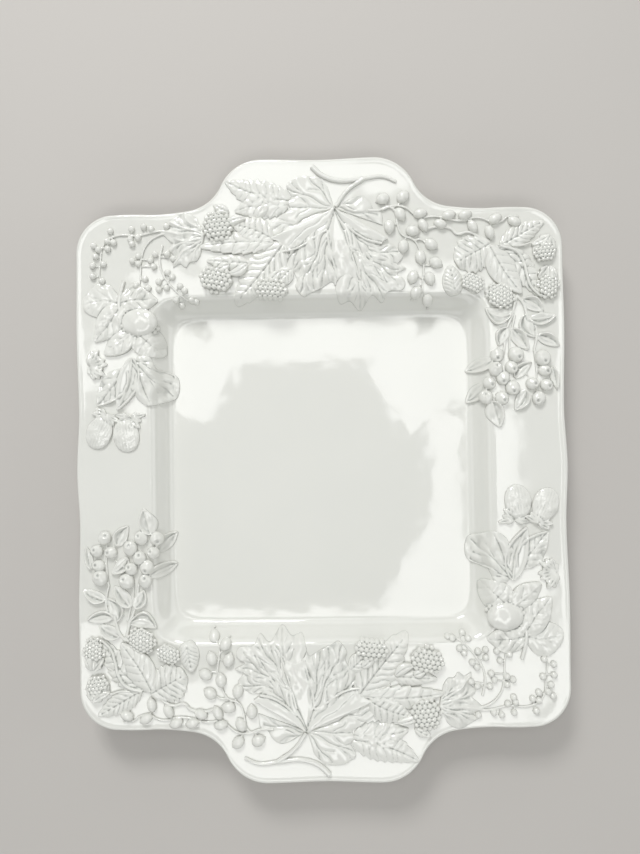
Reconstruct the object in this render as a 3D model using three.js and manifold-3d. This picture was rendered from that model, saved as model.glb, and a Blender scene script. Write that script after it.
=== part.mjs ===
// A handled serving tray in white glazed earthenware. Millimetres, +Z up, standing on its foot at z = 0,
// with the handles along Y. The tray is one pressed shell. Its border of hedgerow fruit and leaves is laid
// on as sprigs: separate relief mouldings, each bedded on the rim. One set of sprigs fills half of the
// border, and the other half repeats it, turned by half a turn about the middle of the tray.
import * as THREE from "three";
import { mergeVertices } from "three/addons/utils/BufferGeometryUtils.js";
import Module from "manifold-3d";

const wasm = await Module();
wasm.setup();

// Plan of the tray
const WIDTH = 321; // over the middle of the two long sides
const LENGTH = 406; // over the two handles
const BODY_LENGTH = 337; // between the two ends, without the handles
const CORNER_RADIUS = 25;
const HANDLE_FLAT = 74; // end of a handle, between its rounded corners
const HANDLE_DISH = 1; // how far that end sinks in at its middle
const OGEE_RADIUS = 29; // both bends of a handle's neck
const NECK_SLOPE = THREE.MathUtils.degToRad(9); // at which the neck runs out into the body's end
const NECK_RUN = 26; // over which that slope levels out
const SIDE_NOTCH = 1.6; // depth of the two shallow notches in each long side
const NOTCH_OFFSET = 38; // of each notch from the middle of the side
const SIDE_TAPER = 1.2; // by which a side has drawn in where its corner starts

// Section of the tray
const FOOT_HEIGHT = 4;
const FOOT_WIDTH = 7;
const FOOT_INSET = 3; // of the foot's outer edge from the edge of the well's floor
const FLOOR_THICKNESS = 6;
const FLOOR_WIDTH = 198;
const FLOOR_LENGTH = 203;
const CAVETTO_WIDTH = 14; // of the curved wall between floor and rim, seen from above
const WELL_DEPTH = 15;
const WELL_SQUARENESS = 14; // exponent of the well's superellipse
const RIM_SLOPE = THREE.MathUtils.degToRad(3);
const RIM_THICKNESS = 6;
const LIP_WIDTH = 5;
const LIP_RISE = 0.8;

// Bedding of the sprigs
const SEAT_GAP = 0.3; // between a sprig and the rim that it lies on
const SEAM = 0.3; // between two sprigs that meet
const ROOT_DEPTH = 4; // of a sprig's blank below the rim's surface, before it is bedded

// Relief of the sprigs above the rim
const LEAF_EDGE = 1;
const LEAF_CROWN = 2.4;
const LEAF_SKIN = 0.5; // least thickness of a leaf, also where it bends over the well's shoulder
const SKIN_INSET = 0.1; // of that skin from the edge of a plain leaf; a lobed leaf's skin reaches its edge
const TOOTH = 0.16; // share of a blade's half width that its teeth cut away
const NOTCH = 0.6; // share of a lobed leaf's reach at which the notches between its lobes end
const SHOULDER = 0.8; // share of a lobe's reach at which it is broadest
const BEAD = 0.22; // share of a beaded fruit's size by which the net between its beads is sunk
const STALK_RADIUS = 1.1;
const STALK_RISE = 1.6; // height of a stalk's crest, in radii
const TWIG_RADIUS = 0.9; // of the short stalk that ties a fruit to its spray

// Facets
const CURVE_STEPS = 2; // of the outline's curves, twice as many on its arcs
const STATION_PITCH = 7; // along a leaf or a stalk

const FLOOR_TOP = FOOT_HEIGHT + FLOOR_THICKNESS;
const SHOULDER_HEIGHT = FLOOR_TOP + WELL_DEPTH;
const COLUMN_LOW = -LENGTH;
const COLUMN_HIGH = LENGTH;
const GLAZE = { color: 0xdedfd9, roughness: 0.12, metalness: 0 };

// One quarter of the tray's outline, from the middle of a handle to the middle of a long side.
function quarterOutline() {
  const end = LENGTH / 2;
  const side = WIDTH / 2;
  const bodyEnd = BODY_LENGTH / 2;
  const cornerSide = side - SIDE_TAPER;
  const flat = HANDLE_FLAT / 2;
  const neckDrop = end - bodyEnd - (NECK_RUN * Math.tan(NECK_SLOPE)) / 2;
  const bend = Math.acos((1 + Math.cos(NECK_SLOPE) - neckDrop / OGEE_RADIUS) / 2);
  const turnX = flat + OGEE_RADIUS * Math.sin(bend);
  const turnY = end - OGEE_RADIUS * (1 - Math.cos(bend));
  const neckX = turnX + OGEE_RADIUS * Math.sin(bend);
  const neckY = turnY + OGEE_RADIUS * Math.cos(bend);
  const runX = neckX - OGEE_RADIUS * Math.sin(NECK_SLOPE);
  const path = new THREE.Path();
  path.moveTo(0, end - HANDLE_DISH);
  path.bezierCurveTo(flat / 2, end - HANDLE_DISH, flat / 2, end, flat, end);
  path.absarc(flat, end - OGEE_RADIUS, OGEE_RADIUS, Math.PI / 2, Math.PI / 2 - bend, true);
  path.absarc(neckX, neckY, OGEE_RADIUS, 1.5 * Math.PI - bend, 1.5 * Math.PI - NECK_SLOPE, false);
  path.quadraticCurveTo(runX + NECK_RUN / 2, bodyEnd, runX + NECK_RUN, bodyEnd);
  path.lineTo(cornerSide - CORNER_RADIUS, bodyEnd);
  path.absarc(cornerSide - CORNER_RADIUS, bodyEnd - CORNER_RADIUS, CORNER_RADIUS, Math.PI / 2, 0, true);
  const lobe = (bodyEnd - CORNER_RADIUS + NOTCH_OFFSET) / 2;
  waveTo(path, side - SIDE_NOTCH / 3, lobe);
  waveTo(path, side - SIDE_NOTCH, NOTCH_OFFSET);
  waveTo(path, side, 0);
  return path;
}

// Carries a path on to a point in a shallow wave, upright at both ends.
function waveTo(path, x, y) {
  const middle = (path.currentPoint.y + y) / 2;
  path.bezierCurveTo(path.currentPoint.x, middle, x, middle, x, y);
}

// The whole outline, anticlockwise from the middle of the right side.
function outline() {
  const quarter = quarterOutline().getPoints(CURVE_STEPS).reverse();
  const quarters = [
    quarter,
    quarter.map((p) => new THREE.Vector2(-p.x, p.y)).reverse(),
    quarter.map((p) => new THREE.Vector2(-p.x, -p.y)),
    quarter.map((p) => new THREE.Vector2(p.x, -p.y)).reverse(),
  ];
  return quarters.flatMap((points) => points.slice(0, -1));
}

// Distance of the well's edge from the middle of the tray, for the floor grown outwards on each side.
function wellRadius(angle, grown) {
  const across = Math.abs(Math.cos(angle)) / (FLOOR_WIDTH / 2 + grown);
  const along = Math.abs(Math.sin(angle)) / (FLOOR_LENGTH / 2 + grown);
  return (across ** WELL_SQUARENESS + along ** WELL_SQUARENESS) ** (-1 / WELL_SQUARENESS);
}

// Height of the tray's upper face: flat floor, S-shaped cavetto, then a gently rising rim.
function faceHeight(x, y) {
  const angle = Math.atan2(y, x);
  const reach = Math.hypot(x, y);
  const floor = wellRadius(angle, 0);
  const shoulder = wellRadius(angle, CAVETTO_WIDTH);
  if (reach >= shoulder) return SHOULDER_HEIGHT + (reach - shoulder) * Math.tan(RIM_SLOPE);
  return FLOOR_TOP + WELL_DEPTH * THREE.MathUtils.smoothstep(reach, floor, shoulder);
}

// A closed skin over sections that all have the same number of points, with a fan over each end.
function loft(sections) {
  const count = sections[0].length;
  const faces = [];
  for (let s = 0; s + 1 < sections.length; s++) {
    for (let i = 0; i < count; i++) {
      const a = s * count + i;
      const b = s * count + ((i + 1) % count);
      faces.push(a, b, b + count, a, b + count, a + count);
    }
  }
  const last = (sections.length - 1) * count;
  for (let i = 1; i + 1 < count; i++) {
    faces.push(0, i + 1, i, last, last + i, last + i + 1);
  }
  return indexed(sections.flat(), faces);
}

function indexed(points, faces) {
  const geometry = new THREE.BufferGeometry().setFromPoints(points);
  geometry.setIndex(faces);
  return geometry;
}

// A geometry as a solid, whichever way round its faces were wound.
function solid(geometry) {
  const bare = geometry.clone();
  bare.deleteAttribute("normal");
  bare.deleteAttribute("uv");
  const merged = mergeVertices(bare, 1e-4);
  const corners = [...merged.index.array];
  const triangles = [];
  for (let i = 0; i < corners.length; i += 3) {
    const [a, b, c] = corners.slice(i, i + 3);
    if (a !== b && b !== c && a !== c) triangles.push(a, b, c);
  }
  const vertProperties = merged.attributes.position.array;
  const build = (order) =>
    new wasm.Manifold(new wasm.Mesh({ numProp: 3, vertProperties, triVerts: new Uint32Array(order) }));
  const made = build(triangles);
  return made.volume() > 0 ? made : build(triangles.reverse());
}

// A solid as a geometry.
function surface(made) {
  const mesh = made.getMesh();
  const geometry = new THREE.BufferGeometry();
  geometry.setAttribute("position", new THREE.BufferAttribute(mesh.vertProperties, 3));
  geometry.setIndex(new THREE.BufferAttribute(mesh.triVerts, 1));
  return geometry;
}

function fuse(solids) {
  return solids.reduce((whole, part) => whole.add(part));
}

// The tray's shell
const PLAN = outline().map((p) => {
  const angle = p.angle();
  const floor = wellRadius(angle, 0);
  const shoulder = wellRadius(angle, CAVETTO_WIDTH);
  return { angle, reach: p.length(), floor, shoulder };
});

// One ring of points round the tray, at a distance and a height worked out for each direction.
function ring(reachOf, heightOf) {
  return PLAN.map((place) => {
    const reach = reachOf(place);
    const x = reach * Math.cos(place.angle);
    const y = reach * Math.sin(place.angle);
    return new THREE.Vector3(x, y, heightOf(x, y));
  });
}

// The rings of the upper face, from the floor's edge to the inner edge of the lip.
function faceRings(raised) {
  const height = (x, y) => faceHeight(x, y) + raised;
  const cavetto = [0, 0.25, 0.5, 0.75, 1].map((share) =>
    ring((at) => THREE.MathUtils.lerp(at.floor, at.shoulder, share), height),
  );
  return [...cavetto, ring((at) => at.reach - LIP_WIDTH, height)];
}

function trayShell() {
  const lip = [
    ring((at) => at.reach - LIP_WIDTH / 2, (x, y) => faceHeight(x, y) + LIP_RISE),
    ring((at) => at.reach, (x, y) => faceHeight(x, y) - RIM_THICKNESS / 3),
    ring((at) => at.reach - LIP_WIDTH / 2, (x, y) => faceHeight(x, y) - RIM_THICKNESS),
  ];
  const level = (grown, height) => ring((at) => wellRadius(at.angle, grown), () => height);
  const underside = [
    level(CAVETTO_WIDTH + RIM_THICKNESS / 2, SHOULDER_HEIGHT - RIM_THICKNESS),
    level(FOOT_INSET, FOOT_HEIGHT),
    level(-FOOT_INSET, 0),
    level(-FOOT_INSET - FOOT_WIDTH, 0),
    level(-FOOT_INSET - FOOT_WIDTH - FOOT_HEIGHT / 2, FOOT_HEIGHT),
  ];
  return loft([...faceRings(0), ...lip, ...underside]);
}

// The tray's upper face raised by a distance, and all that lies below it.
function ground(raised) {
  const rings = faceRings(raised);
  const base = rings.at(-1).map((p) => new THREE.Vector3(p.x, p.y, COLUMN_LOW));
  return solid(loft([...rings, base]));
}

const BED = ground(SEAT_GAP);
const SKIN = ground(SEAT_GAP + LEAF_SKIN);

// The field that one set of sprigs may cover: half of all that lies inside the lip, from bottom to top.
function sprigField() {
  const edge = ring((at) => at.reach - LIP_WIDTH - SEAM, () => 0).filter((p) => p.y > SEAM);
  return column([...edge.map((p) => new THREE.Vector2(p.x, p.y)), new THREE.Vector2(0, SEAM)]);
}

// Places on the half of the border at +Y, given as a distance in from a long side and down from the body's
// end, as a distance across from the middle and down from the body's end, or as a distance across from the
// middle and a share of the way from the body's end to the handle's.
const fromLeft = ([inwards, down]) => new THREE.Vector2(-WIDTH / 2 + inwards, BODY_LENGTH / 2 - down);
const fromRight = ([inwards, down]) => new THREE.Vector2(WIDTH / 2 - inwards, BODY_LENGTH / 2 - down);
const fromMiddle = ([across, down]) => new THREE.Vector2(across, BODY_LENGTH / 2 - down);
const onHandle = ([across, share]) =>
  new THREE.Vector2(across, THREE.MathUtils.lerp(BODY_LENGTH, LENGTH, share) / 2);

// Lifts a blank, drawn as if on a flat table, so that it follows the tray's upper face.
function laid(geometry) {
  const position = geometry.attributes.position;
  for (let i = 0; i < position.count; i++) {
    position.setZ(i, position.getZ(i) + faceHeight(position.getX(i), position.getY(i)));
  }
  return solid(geometry);
}

// A shape and the upright column of ground that it covers, which sprigs lying under it leave free.
function covering(shape, edge) {
  return { shape, column: column(outset(edge, SEAM)) };
}

// A leaf and its column. The leaf is nowhere thinner than its skin, which is drawn in from its edge.
function leafCovering(shape, edge, drawnIn) {
  const skin = column(outset(edge, -drawnIn)).intersect(SKIN);
  return covering(shape.add(skin), edge);
}

function column(edge) {
  const depth = COLUMN_HIGH - COLUMN_LOW;
  const prism = new THREE.ExtrudeGeometry(new THREE.Shape(edge), { depth, bevelEnabled: false });
  prism.translate(0, 0, COLUMN_LOW);
  return solid(prism);
}

// A closed plan outline moved outwards by a distance.
function outset(edge, distance) {
  const outwards = THREE.ShapeUtils.isClockWise(edge) ? -distance : distance;
  return edge.map((point, i) => {
    const before = edge.at(i - 1);
    const after = edge[(i + 1) % edge.length];
    const along = after.clone().sub(before).normalize();
    return point.clone().add(new THREE.Vector2(along.y, -along.x).multiplyScalar(outwards));
  });
}

const corner = (p, z) => new THREE.Vector3(p.x, p.y, z);

// The point beside a plan curve's point, at a distance to its left.
function beside(points, i, distance) {
  const before = points[Math.max(i - 1, 0)];
  const after = points[Math.min(i + 1, points.length - 1)];
  const along = after.clone().sub(before).normalize();
  return points[i].clone().add(new THREE.Vector2(-along.y, along.x).multiplyScalar(distance));
}

// One leaf: two halves that fall away from a raised rib, drawn out from base to tip. Bow bends the rib
// sideways, and fullest is the share of the length at which the leaf is widest.
function blade(base, tip, width, { bow = 0, fullest = 0.4, toothed = false } = {}) {
  const run = tip.clone().sub(base);
  const sideways = new THREE.Vector2(-run.y, run.x).normalize().multiplyScalar(bow);
  const bulge = base.clone().add(tip).multiplyScalar(0.5).add(sideways);
  const stations = Math.max(3, Math.round(run.length() / STATION_PITCH));
  const rib = new THREE.QuadraticBezierCurve(base, bulge, tip).getSpacedPoints(stations);
  const bias = Math.log(0.5) / Math.log(fullest);
  const halves = rib.map((point, i) => {
    const spread = Math.sin(Math.PI * (0.04 + (0.92 * i) / stations) ** bias) ** 0.8;
    const tooth = toothed && i % 2 === 0 ? 1 - TOOTH : 1;
    return Math.max(0.8, (width / 2) * spread * tooth);
  });
  const left = rib.map((point, i) => beside(rib, i, halves[i]));
  const right = rib.map((point, i) => beside(rib, i, -halves[i]));
  const sections = rib.map((point, i) => [
    corner(left[i], -ROOT_DEPTH),
    corner(left[i], LEAF_EDGE),
    corner(point, THREE.MathUtils.lerp(LEAF_EDGE, LEAF_CROWN, Math.min(1, (3 * halves[i]) / width))),
    corner(right[i], LEAF_EDGE),
    corner(right[i], -ROOT_DEPTH),
  ]);
  return leafCovering(laid(loft(sections)), [...left, ...right.reverse()], SKIN_INSET);
}

// The mirror image of a point in the line from a base to a tip.
function mirrored(point, base, tip) {
  const axis = tip.clone().sub(base).normalize();
  const arm = point.clone().sub(base);
  return axis.multiplyScalar(2 * arm.dot(axis)).sub(arm).add(base);
}

// A leaf cut into lobes that spread from one base: every lobe falls away from its own raised rib to its edge,
// and two neighbours part at a notch that lies midway between them.
function lobedLeaf(base, tips) {
  const between = (tip, other, share, shift) =>
    base.clone().lerp(tip, share).lerp(base.clone().lerp(other, share), shift);
  const edge = [base];
  const faces = [];
  const firstRib = 4 * tips.length;
  tips.forEach((tip, i) => {
    const before = tips[i - 1] ?? mirrored(tips[i + 1], base, tip);
    const after = tips[i + 1] ?? mirrored(tips[i - 1], base, tip);
    const start = edge.length - 1;
    edge.push(between(tip, before, SHOULDER, 0.3), tip, between(tip, after, SHOULDER, 0.3));
    if (i + 1 < tips.length) edge.push(between(tip, after, NOTCH, 0.5));
    const round = [0, start, start + 1, start + 2, start + 3, (start + 4) % firstRib];
    round.forEach((spot, k) => faces.push([firstRib + i, spot, round[(k + 1) % round.length]]));
  });
  const ribs = tips.map((tip) => base.clone().lerp(tip, NOTCH));
  const upper = [...edge.map((p) => corner(p, LEAF_EDGE)), ...ribs.map((p) => corner(p, LEAF_CROWN))];
  const lower = [...edge, ...ribs].map((p) => corner(p, -ROOT_DEPTH));
  const low = upper.length;
  const index = faces.flatMap(([i, j, k]) => [i, j, k, low + i, low + k, low + j]);
  edge.forEach((point, i) => {
    const next = (i + 1) % edge.length;
    index.push(i, low + i, low + next, i, low + next, next);
  });
  return leafCovering(laid(indexed([...upper, ...lower], index)), edge, 0);
}

// The corners of an oval about the origin.
function oval(length, width, sides) {
  return Array.from({ length: sides }, (unused, i) => {
    const turn = (2 * Math.PI * i) / sides;
    return new THREE.Vector2(length * Math.cos(turn), width * Math.sin(turn));
  });
}

// A stalk along a plan curve: a ridge whose flanks meet the rim at the stalk's radius and run into its root.
function stalk(points, radius = STALK_RADIUS) {
  const plan = new THREE.SplineCurve(points);
  const steps = Math.max(1, Math.round(plan.getLength() / STATION_PITCH));
  const spots = plan.getSpacedPoints(steps);
  const crest = STALK_RISE * radius;
  const rootRadius = (radius * (crest + ROOT_DEPTH)) / crest;
  const sections = spots.map((point, i) => [
    corner(beside(spots, i, rootRadius), -ROOT_DEPTH),
    corner(point, crest),
    corner(beside(spots, i, -rootRadius), -ROOT_DEPTH),
  ]);
  const left = spots.map((point, i) => beside(spots, i, radius));
  const right = spots.map((point, i) => beside(spots, i, -radius));
  return covering(laid(loft(sections)), [...left, ...right.reverse()]);
}

// A fruit of the given half sizes, made from a unit ball and turned in plan so that its length points along
// its heading. It sits on the rim a little below its middle.
function fruit(ball, place, half, heading) {
  ball.scale(half.length, half.width, half.height);
  ball.rotateZ(heading);
  ball.translate(place.x, place.y, faceHeight(place.x, place.y) + half.height * 0.35);
  const middle = new THREE.Vector2();
  const edge = oval(half.length, half.width, 10).map((spot) => spot.rotateAround(middle, heading).add(place));
  return covering(solid(ball), edge);
}

const egg = (length, width = length, height = width) => ({ length, width, height });

const smooth = (place, half, heading = 0, detail = 0) =>
  fruit(new THREE.IcosahedronGeometry(1, detail), place, half, heading);

// A fruit covered in beads: on a ball's net of points, every second point stands out.
function beaded(place, half, heading, around, rows) {
  const ball = new THREE.SphereGeometry(1, around, rows);
  const position = ball.attributes.position;
  for (let i = 0; i < position.count; i++) {
    const row = Math.floor(i / (around + 1));
    const step = i % (around + 1);
    const sunk = (row + step) % 2 && row > 0 && row < rows ? 1 - BEAD : 1;
    position.setXYZ(i, position.getY(i) * sunk, position.getX(i) * sunk, position.getZ(i) * sunk);
  }
  return fruit(ball, place, half, heading);
}

// Fruit along stalks: a fruit that lies clear of them is tied by a short twig to their nearest point.
function spray(stalks, places, half, makeFruit) {
  const main = stalks.map((points) => stalk(points));
  const spots = stalks.flatMap((points) => new THREE.SplineCurve(points).getSpacedPoints(40));
  const hung = places.flatMap((place) => {
    const near = spots.reduce((best, p) => (p.distanceTo(place) < best.distanceTo(place) ? p : best));
    const lead = place.clone().sub(near);
    const item = makeFruit(place, half, lead.angle());
    return lead.length() < half.width ? [item] : [item, stalk([near, place], TWIG_RADIUS)];
  });
  return [...main, ...hung];
}

// Elder: two sprays of small berries in the left corner, and the leaf that they spring from.
const ELDER_BERRY = egg(2.2, 2.2, 2.4);
const elderBerry = (place, half) => fruit(new THREE.OctahedronGeometry(1), place, half, 0);
const elderOuter = spray(
  [
    [[66, 12], [56, 12], [42, 14], [28, 14], [20, 18], [17, 30], [16, 40]].map(fromLeft),
    [[66, 12], [56, 14], [48, 20], [45, 28], [44, 40], [42, 48]].map(fromLeft),
  ],
  [
    [24, 11], [38, 10], [46, 8], [51, 10], [61, 8], [22, 17], [26, 18], [22, 22], [13, 20],
    [16, 23], [14, 27], [37, 16], [42, 15], [38, 19], [42, 27], [38, 30], [42, 32], [50, 30],
    [52, 34], [19, 32], [12, 33], [12, 40], [18, 43], [46, 42], [40, 46], [48, 48],
  ].map(fromLeft),
  ELDER_BERRY,
  elderBerry,
);
const elderInner = spray(
  [[[58, 21], [56, 30], [57, 37], [61, 44], [68, 52], [76, 58]].map(fromLeft)],
  [
    [61, 26], [53, 26], [61, 38], [64, 41], [55, 44], [60, 48], [55, 49], [69, 47], [72, 50],
    [66, 56], [69, 59], [76, 56], [79, 57],
  ].map(fromLeft),
  ELDER_BERRY,
  elderBerry,
);
const elderLeaf = [lobedLeaf(fromLeft([83, 14]), [[66, 8], [57, 18], [63, 37], [76, 30]].map(fromLeft))];

// Bramble: three beaded fruits and four toothed leaves left of the middle.
const brambleFruitUpper = [beaded(fromMiddle([-64, 6]), egg(11, 10, 5), 2.6, 12, 8)];
const brambleFruitLower = [
  beaded(fromMiddle([-66, 42]), egg(12.5, 9.5, 5), 3, 12, 8),
  blade(fromMiddle([-46, 31]), fromMiddle([-70, 31]), 12),
];
const brambleFruitInner = [beaded(fromMiddle([-30, 51]), egg(13, 8.5, 5), 3.1, 12, 8)];
const serrated = { toothed: true };
const brambleLeafHandle = [blade(onHandle([-17, 0.23]), onHandle([-62, 0.55]), 25, serrated)];
const brambleLeafCurled = [blade(fromMiddle([-29, 17]), fromMiddle([-53, 7]), 13, serrated)];
const brambleLeafLong = [blade(fromMiddle([-30, 20]), fromMiddle([-76, 23]), 15, serrated)];
const brambleLeafInner = [blade(fromMiddle([-25, 23]), fromMiddle([-53, 59]), 21, serrated)];

// Vine: one large leaf on the middle, two more behind it, and the twig that they hang from.
const vineLeafFront = [
  lobedLeaf(
    fromMiddle([9, 0]),
    [[-29, 21], [-24, 36], [-14, 59], [11, 48], [29, 48], [39, 29], [43, 18]].map(fromMiddle),
  ),
];
const vineLeafLeft = [
  lobedLeaf(fromMiddle([9, 0]), [
    ...[[3, 0.58], [-9, 0.64], [-24, 0.41]].map(onHandle),
    ...[[-22, -1], [-34, 10]].map(fromMiddle),
  ]),
];
const vineLeafRight = [
  lobedLeaf(fromMiddle([22, 24]), [[58, 37], [58, 60], [33, 67], [14, 58]].map(fromMiddle)),
];
const VINE_TWIG_RADIUS = 1.4;
const vineTwig = [
  stalk(
    [[-2, 0.78], [5, 0.64], [16, 0.55], [30, 0.58], [43, 0.61], [52, 0.49]].map(onHandle),
    VINE_TWIG_RADIUS,
  ),
  stalk([onHandle([30, 0.58]), onHandle([19, 0.35]), fromMiddle([11, -2])], VINE_TWIG_RADIUS),
];

// Dog rose: two sprays of hips right of the middle.
const ROSEHIP = egg(4.6, 3.6);
const rosehipInner = spray(
  [[[33, 0], [42, 2], [49, 6], [54, 15], [63, 22], [69, 30], [71, 38], [68, 50]].map(fromMiddle)],
  [
    [43, -6], [57, -8], [54, 3], [47, 13], [62, 14], [56, 24], [67, 33], [76, 24], [78, 36],
    [62, 44], [73, 47], [64, 55], [72, 59],
  ].map(fromMiddle),
  ROSEHIP,
  smooth,
);
const rosehipOuter = spray(
  [
    [
      [118, 0], [110, -2], [98, 3], [86, 6], [80, 3], [72, 6], [58, 6], [50, 8], [40, 8], [30, 6],
    ].map(fromRight),
  ],
  [[94, -2], [92, 9], [80, 8], [76, 1], [64, 2], [59, 10], [44, 6], [48, 15], [33, 10]].map(fromRight),
  ROSEHIP,
  smooth,
);

// Strawberry: three toothed leaves in the right corner and five fruits round them.
const strawberryLeafLeft = [lobedLeaf(fromRight([49, 26]), [[70, 17], [67, 35], [54, 43]].map(fromRight))];
const strawberryLeafCentre = [
  blade(fromRight([50, 26]), fromRight([18, 58]), 20, serrated),
  stalk([[50, 26], [34, 30], [26, 44], [19, 58]].map(fromRight)),
];
const strawberryLeafCorner = [blade(fromRight([42, 24]), fromRight([15, 11]), 12, serrated)];
const strawberryUpper = [
  beaded(fromRight([13, 28]), egg(9, 8.5, 4), 2.2, 12, 7),
  stalk([[28, 25], [20, 26], [14, 26]].map(fromRight)),
];
const strawberryLower = [beaded(fromRight([12, 52]), egg(10, 7.5, 4), 1.5, 12, 7)];
const strawberryInner = [beaded(fromRight([42, 58]), egg(10, 8, 4), 2.4, 12, 7)];
const strawberrySmall = [beaded(fromRight([58, 51]), egg(8, 6, 4), 2.7, 10, 7)];
const strawberryBud = [smooth(fromRight([73, 50]), egg(8, 5.2, 3.5), 1.3, 1)];

// Rowan: a forking stalk with small leaves down the right side, and the bunch of round fruit that it bears.
const ROWAN_FRUIT = egg(4.5, 4.5, 3.6);
const rowanBlade = (base, tip, width, options) => blade(fromRight(base), fromRight(tip), width, options);
const rowanSpray = [
  ...spray(
    [
      [[30, 57], [32, 62], [34, 70], [38, 80], [41, 94], [42, 106], [46, 124]].map(fromRight),
      [[30, 57], [28, 62], [26, 70], [20, 78], [18, 84], [20, 96], [18, 108], [18, 122]].map(fromRight),
    ],
    [
      [44, 96], [32, 96], [16, 98], [14, 106], [36, 104], [46, 106], [40, 110], [48, 114],
      [34, 118], [23, 116], [14, 116], [52, 122], [42, 124], [18, 123],
    ].map(fromRight),
    ROWAN_FRUIT,
    smooth,
  ),
  rowanBlade([34, 68], [50, 66], 7, { bow: -5 }),
  rowanBlade([27, 61], [15, 70], 7),
  rowanBlade([22, 74], [7, 72], 6),
  rowanBlade([27, 70], [20, 85], 7),
  rowanBlade([36, 77], [26, 93], 7),
  rowanBlade([37, 78], [44, 90], 6),
  rowanBlade([18, 85], [7, 92], 6),
  rowanBlade([43, 100], [62, 104], 9),
  rowanBlade([46, 114], [64, 125], 9),
  rowanBlade([47, 122], [43, 144], 9),
  rowanBlade([33, 116], [32, 134], 7),
  rowanBlade([20, 103], [34, 112], 7),
  rowanBlade([16, 104], [6, 118], 7),
];

// Hazel: a stalk with broad leaves and nuts down the left side.
const hazelBlade = (base, tip, width, options) => blade(fromLeft(base), fromLeft(tip), width, options);
const hazelUpper = [
  stalk([[32, 44], [30, 54], [30, 62], [34, 72], [37, 80]].map(fromLeft)),
  smooth(fromLeft([44, 68]), egg(10.5, 8, 4), 0, 1),
  hazelBlade([31, 60], [38, 77], 10),
  hazelBlade([30, 60], [10, 56], 17),
  hazelBlade([29, 59], [14, 81], 13),
  hazelBlade([30, 59], [54, 57], 12),
  hazelBlade([36, 76], [55, 89], 17),
  hazelBlade([36, 74], [21, 92], 15),
];
const hazelLower = [
  hazelBlade([37, 97], [28, 126], 11),
  hazelBlade([36, 97], [68, 116], 27),
  hazelBlade([33, 101], [16, 124], 15),
];
const hazelnutRight = [
  smooth(fromLeft([34, 145]), egg(10, 7.5, 4), 1.7, 1),
  hazelBlade([29, 133], [41, 136], 9),
];
const hazelnutLeft = [
  smooth(fromLeft([18, 142]), egg(9, 6.5, 4), 0.9, 1),
  hazelBlade([26, 134], [13, 131], 8),
];

// Every sprig of half the border, with the ones that lie on top first.
const SPRIGS = {
  vine_twig: vineTwig,
  vine_leaf_front: vineLeafFront,
  bramble_fruit_upper: brambleFruitUpper,
  bramble_fruit_inner: brambleFruitInner,
  bramble_leaf_long: brambleLeafLong,
  bramble_fruit_lower: brambleFruitLower,
  bramble_leaf_curled: brambleLeafCurled,
  bramble_leaf_inner: brambleLeafInner,
  bramble_leaf_handle: brambleLeafHandle,
  rosehip_spray_inner: rosehipInner,
  rosehip_spray_outer: rosehipOuter,
  vine_leaf_left: vineLeafLeft,
  vine_leaf_right: vineLeafRight,
  elder_spray_inner: elderInner,
  elder_spray_outer: elderOuter,
  elder_leaf: elderLeaf,
  strawberry_leaf_centre: strawberryLeafCentre,
  strawberry_leaf_left: strawberryLeafLeft,
  strawberry_upper: strawberryUpper,
  strawberry_leaf_corner: strawberryLeafCorner,
  rowan_spray: rowanSpray,
  strawberry_inner: strawberryInner,
  strawberry_small: strawberrySmall,
  strawberry_bud: strawberryBud,
  strawberry_lower: strawberryLower,
  hazel_spray_upper: hazelUpper,
  hazel_spray_lower: hazelLower,
  hazelnut_right: hazelnutRight,
  hazelnut_left: hazelnutLeft,
};

// The largest body of a sprig: slivers that an upper sprig has cut off from it are left out.
function largest(made) {
  return made.decompose().reduce((best, body) => (body.volume() > best.volume() ? body : best));
}

function mesh(name, geometry) {
  const item = new THREE.Mesh(geometry, new THREE.MeshStandardMaterial(GLAZE));
  item.name = name;
  return item;
}

const tray = new THREE.Group();
tray.name = "relief_border_tray";
tray.add(mesh("tray_body", surface(solid(trayShell()))));

const field = sprigField();
const turned = new THREE.Group();
turned.rotation.z = Math.PI;
tray.add(turned);
const covered = [];
for (const [name, forms] of Object.entries(SPRIGS)) {
  const blank = fuse(forms.map((form) => form.shape));
  const freed = covered.reduce((left, column) => left.subtract(column), blank);
  const sprig = largest(freed.intersect(field).subtract(BED));
  covered.push(...forms.map((form) => form.column));
  tray.add(mesh(`${name}_a`, surface(sprig)));
  turned.add(mesh(`${name}_b`, surface(sprig)));
}

export default tray;
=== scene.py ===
import math
import bpy
import numpy as np
from mathutils import Matrix, Vector


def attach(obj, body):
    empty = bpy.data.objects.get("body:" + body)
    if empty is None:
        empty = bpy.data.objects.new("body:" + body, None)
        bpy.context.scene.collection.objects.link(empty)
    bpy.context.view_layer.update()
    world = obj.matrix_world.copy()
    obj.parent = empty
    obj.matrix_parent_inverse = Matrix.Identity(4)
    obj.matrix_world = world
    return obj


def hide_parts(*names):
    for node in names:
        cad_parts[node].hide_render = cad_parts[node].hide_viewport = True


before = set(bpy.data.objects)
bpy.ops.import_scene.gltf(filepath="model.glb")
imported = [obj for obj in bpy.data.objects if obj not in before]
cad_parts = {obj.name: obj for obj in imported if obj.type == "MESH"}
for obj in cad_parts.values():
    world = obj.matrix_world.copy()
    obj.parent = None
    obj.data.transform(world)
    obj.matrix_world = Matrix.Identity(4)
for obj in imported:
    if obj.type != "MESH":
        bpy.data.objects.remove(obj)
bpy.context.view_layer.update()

# The tray is one shell of white earthenware, pressed over a mould: a square well with a soft cavetto wall,
# a broad rim that runs out into a solid handle at each end, a rolled lip all round and a foot ring below.
# It starts as a ball whose rings are pressed out to the tray's section, one direction at a time.
MILLIMETRE = 0.001
tray_width, tray_length, body_length = 321, 406, 337
corner_radius, ogee_radius = 25, 29
handle_flat, handle_dish = 74, 1
neck_slope, neck_run = math.radians(9), 26
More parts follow.
